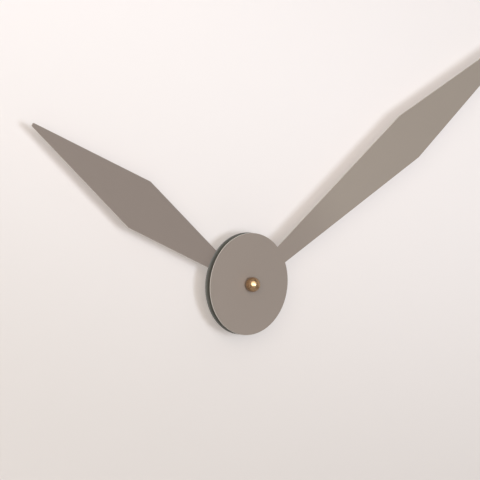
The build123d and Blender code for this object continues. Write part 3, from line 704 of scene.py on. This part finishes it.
def powder_coat(name, blade, hub, hub_edge, hub_end, blade_start):
    """The matt coat: its tone on the hub turns into that of the blade between two radii, a change that is
    painted light.
    """
    coat, shader, place = start_finish(name, IOR=1.5, Specular_IOR_Level=0.35)
    facing = place.node("TexCoord", {}, {}, "Normal").axis("Y")
    cut_edge = 1.0 - (facing * facing).ease(0.55, 0.95)
    powder = place.cloud(size=0.0006, detail=3.0, roughness=0.6)
    drift = place.cloud(size=0.06, detail=3.0)
    peel = place.cloud(size=0.0016, detail=2.0)
    off_axis = place.axis("X") * place.axis("X") + place.axis("Z") * place.axis("Z")
    on_blade = off_axis.ease(hub_end**2, blade_start**2)
    # The step from hub tone to blade tone is painted shade on the hour hand and painted sheen on the minute
    # hand.
    face = on_blade.blend(hub, blade)
    edge = on_blade.blend(hub_edge, pale_edge)
    tone = (cut_edge * 0.85).blend(face, edge)
    set_surface(
        shader,
        colour=(powder * 0.025 + drift * 0.03).blend(tone, rgb(0.0, 0.0, 0.0)),
        roughness=powder * 0.12 + 0.36 - cut_edge * 0.08,
        normal=(powder * 0.4 + peel * 0.6).bump(strength=0.3, height=0.00005),
    )
    return coat


# Painted shade: the hub and its rim dark grey for the shade between the hubs, and the blade a darker, shaded
# copy of the minute hand's coat.
hour_coat_painted_shade = powder_coat(
    "hour_coat_painted_shade",
    blade=rgb(0.253, 0.211, 0.187),
    hub=rgb(0.190, 0.194, 0.184),
    hub_edge=rgb(0.06, 0.06, 0.056),
    hub_end=hub_radius + 0.0001,
    blade_start=hub_radius + 0.0004,
)
dress(hour_coat_painted_shade, "hour_hand")
# Painted sheen: the blade is lighter than the hub, rising from the hub's edge along the blade's root.
minute_coat_painted_sheen = powder_coat(
    "minute_coat_painted_sheen",
    blade=rgb(0.348, 0.300, 0.260),
    hub=rgb(0.295, 0.249, 0.219),
    hub_edge=pale_edge,
    hub_end=hub_radius * 0.6,
    blade_start=hub_radius * 3.0,
)
dress(minute_coat_painted_sheen, "minute_hand")

# Cap nut
# A solid brass ball with a flat seat, drilled and tapped from behind, polished bright and screwed
# onto the end of the arbor against the minute hand.

polished_brass, shader, place = start_finish("polished_brass", Metallic=1.0)
polish = place.stretched(0.15, 1.0, 0.15).cloud(size=0.0003, detail=2.0)
film = place.cloud(size=0.003, detail=4.0)
set_surface(
    shader,
    colour=(polish * 0.3 + film * 0.7).blend(rgb(0.42, 0.265, 0.15), rgb(0.51, 0.34, 0.20)),
    roughness=film.between(0.24, 0.32),
    normal=polish.bump(strength=0.08, height=0.00002),
)
dress(polished_brass, "cap_nut")

# Wall and floor
# A plain painted wall close behind the bracket's feet and a pale floor well below. The wall's colour
# and glow hold painted light: it is lighter towards the top and the right, and a glow that only the
# camera and metal see lifts the shadows on it. Both are one-sided, so that the clock can also be
# seen from behind and from below.

wall_y = 0.0004
wall_reach = 4.0
floor_z = -1.6
floor_front = -2 * wall_reach


def shown(place, mirrored_share):
    """1 where the camera looks at a stage sheet, and a share of that in what metal mirrors."""
    seen = place.node("LightPath", {}, {}, "Is Camera Ray")
    mirrored = place.node("LightPath", {}, {}, "Is Glossy Ray")
    return seen + mirrored * mirrored_share


def one_sided(finish, shader, place):
    """Lets sight through a stage sheet from its rear, and lamplight from both sides."""
    tree = finish.node_tree
    behind = place.node("NewGeometry", {}, {}, "Backfacing")
    shadow_ray = place.node("LightPath", {}, {}, "Is Shadow Ray")
    through = behind.math("MAXIMUM", behind, shadow_ray)
    clear = place.node("BsdfTransparent", {}, {})
    mixed = place.node("MixShader", {}, {0: through, 1: Wire(tree, shader.outputs[0]), 2: clear})
    mixed.into(tree.nodes["Material Output"], "Surface")


def stage_sheet(name, corners, finish):
    """A flat stage sheet from its corners, in order."""
    mesh = bpy.data.meshes.new(name)
    mesh.from_pydata(corners, [], [range(len(corners))])
    mesh.materials.append(finish)
    sheet = bpy.data.objects.new(name, mesh)
    bpy.context.scene.collection.objects.link(sheet)


no_glow = rgb(0.0, 0.0, 0.0)
wall_paint, shader, place = start_finish(
    "wall_paint", Roughness=0.9, Specular_IOR_Level=0.15, Emission_Strength=0.41
)
# Painted light falloff: the wall darker towards the bottom and the left.
painted_falloff = (place.axis("Z") + place.axis("X") * 0.4).ease(-0.30, 0.30)
# Painted light: the wall's glow, seen by the camera and by metal, lightens the shadows on it.
painted_wall_glow = painted_falloff.blend(rgb(0.525, 0.474, 0.447), rgb(0.690, 0.642, 0.630))
painted_falloff.blend(rgb(0.500, 0.472, 0.455), rgb(0.668, 0.636, 0.632)).into(shader, "Base Color")
shown(place, mirrored_share=1.0).blend(no_glow, painted_wall_glow).into(shader, "Emission Color")
place.cloud(size=0.0015, detail=4.0).bump(strength=0.05, height=0.0001).into(shader, "Normal")
one_sided(wall_paint, shader, place)
stage_sheet(
    "wall",
    [
        (-wall_reach, wall_y, floor_z),
        (wall_reach, wall_y, floor_z),
        (wall_reach, wall_y, wall_reach),
        (-wall_reach, wall_y, wall_reach),
    ],
    wall_paint,
)

floor_glow = rgb(0.66, 0.644, 0.627)
floor_paint, shader, place = start_finish("floor_paint", Roughness=0.8, Emission_Strength=1.0)
floor_cloud = place.cloud(size=0.4, detail=3.0)
floor_cloud.blend(rgb(0.42, 0.41, 0.40), rgb(0.46, 0.45, 0.44)).into(shader, "Base Color")
shown(place, mirrored_share=0.15).blend(no_glow, floor_glow).into(shader, "Emission Color")
one_sided(floor_paint, shader, place)
stage_sheet(
    "floor",
    [
        (-wall_reach, floor_front, floor_z),
        (wall_reach, floor_front, floor_z),
        (wall_reach, wall_reach, floor_z),
        (-wall_reach, wall_reach, floor_z),
    ],
    floor_paint,
)

# Light
# A soft box near the clock's axis, a large one beside the camera, and a soft panel behind for the
# rear. The room is dim and warm, and metal also mirrors its window and its lighter right side.


def heading(azimuth, elevation):
    """The direction from the clock to where something stands, from angles in degrees."""
    turn = radians(azimuth)
    rise = radians(elevation)
    return Vector((sin(turn) * cos(rise), -cos(turn) * cos(rise), sin(rise)))


def soft_lamp(name, azimuth, elevation, distance, width, level, tint=(1.0, 1.0, 1.0)):
    """An area lamp aimed at the clock. Level 1 renders a colour square to it as it is written."""
    back = heading(azimuth, elevation)
    data = bpy.data.lights.new(name, "AREA")
    data.shape = "DISK"
    data.size = width
    data.energy = level * pi * pi * distance**2
    data.color = tint
    lamp = bpy.data.objects.new(name, data)
    aim = back.to_track_quat("Z", "Y").to_matrix().to_4x4()
    lamp.matrix_world = Matrix.Translation(back * distance) @ aim
    bpy.context.scene.collection.objects.link(lamp)


soft_lamp(
    "key_box", azimuth=-9.0, elevation=3.0, distance=2.5, width=0.8, level=0.41, tint=(0.92, 1.01, 1.13)
)
soft_lamp(
    "fill_box", azimuth=-37.5, elevation=12.0, distance=3.0, width=2.5, level=0.57, tint=(1.09, 1.0, 0.88)
)
soft_lamp("rear_panel", azimuth=160.0, elevation=25.0, distance=2.0, width=1.4, level=0.6)

room_light = rgb(1.0, 0.95, 0.87)
room_seen = rgb(1.0, 0.99, 0.98)
seen_strength = 0.9
window_outer = cos(radians(46.0))
window_inner = cos(radians(30.0))
room = bpy.data.worlds.new("room")
room.use_nodes = True
sky = room.node_tree.nodes["Background"]
way = Wire(room.node_tree).node("TexCoord", {}, {}, "Generated")
seen = way.node("LightPath", {}, {}, "Is Camera Ray")
mirrored = way.node("LightPath", {}, {}, "Is Glossy Ray")
to_window = way.node(
    "VectorMath", {"operation": "DOT_PRODUCT"}, {0: way, 1: heading(azimuth=-29.0, elevation=23.0)}, "Value"
)
glow = way.math("MAXIMUM", way.axis("Z"), 0.0) * 0.34 + 0.12
window = to_window.ease(window_outer, window_inner) * 2.4
right_side = way.axis("X").ease(0.3, 0.9) * 0.5
mirror_image = window + right_side + 0.22
seen.blend(room_light, room_seen).into(sky, "Color")
lighting = glow * (1.0 - seen) * (1.0 - mirrored)
(lighting + seen * seen_strength + mirrored * mirror_image).into(sky, "Strength")
bpy.context.scene.world = room

# Camera
# To the left of the clock and a little above its axis, far away with a long lens and tilted by a
# degree or two. It places the clock's axis where the photograph has it in a 480 pixel square.

view_azimuth = -40.509
view_elevation = 7.217
view_roll = radians(-1.674)
view_distance = 4.0334
view_right = 0.009101
view_up = 0.040861
back = heading(view_azimuth, view_elevation)
level_right = Vector((cos(radians(view_azimuth)), sin(radians(view_azimuth)), 0.0))
level_up = back.cross(level_right)
right = level_right * cos(view_roll) + level_up * sin(view_roll)
up = level_up * cos(view_roll) - level_right * sin(view_roll)
eye = bpy.data.cameras.new("eye")
eye.lens = 309.01
eye.sensor_width = 36.0
eye.sensor_fit = "HORIZONTAL"
eye.clip_end = 50.0
camera = bpy.data.objects.new("camera", eye)
camera.matrix_world = Matrix((right, up, back)).transposed().to_4x4()
camera.matrix_world.translation = back * view_distance + right * view_right + up * view_up
bpy.context.scene.collection.objects.link(camera)
bpy.context.scene.camera = camera
bpy.context.scene.view_settings.view_transform = "Standard"
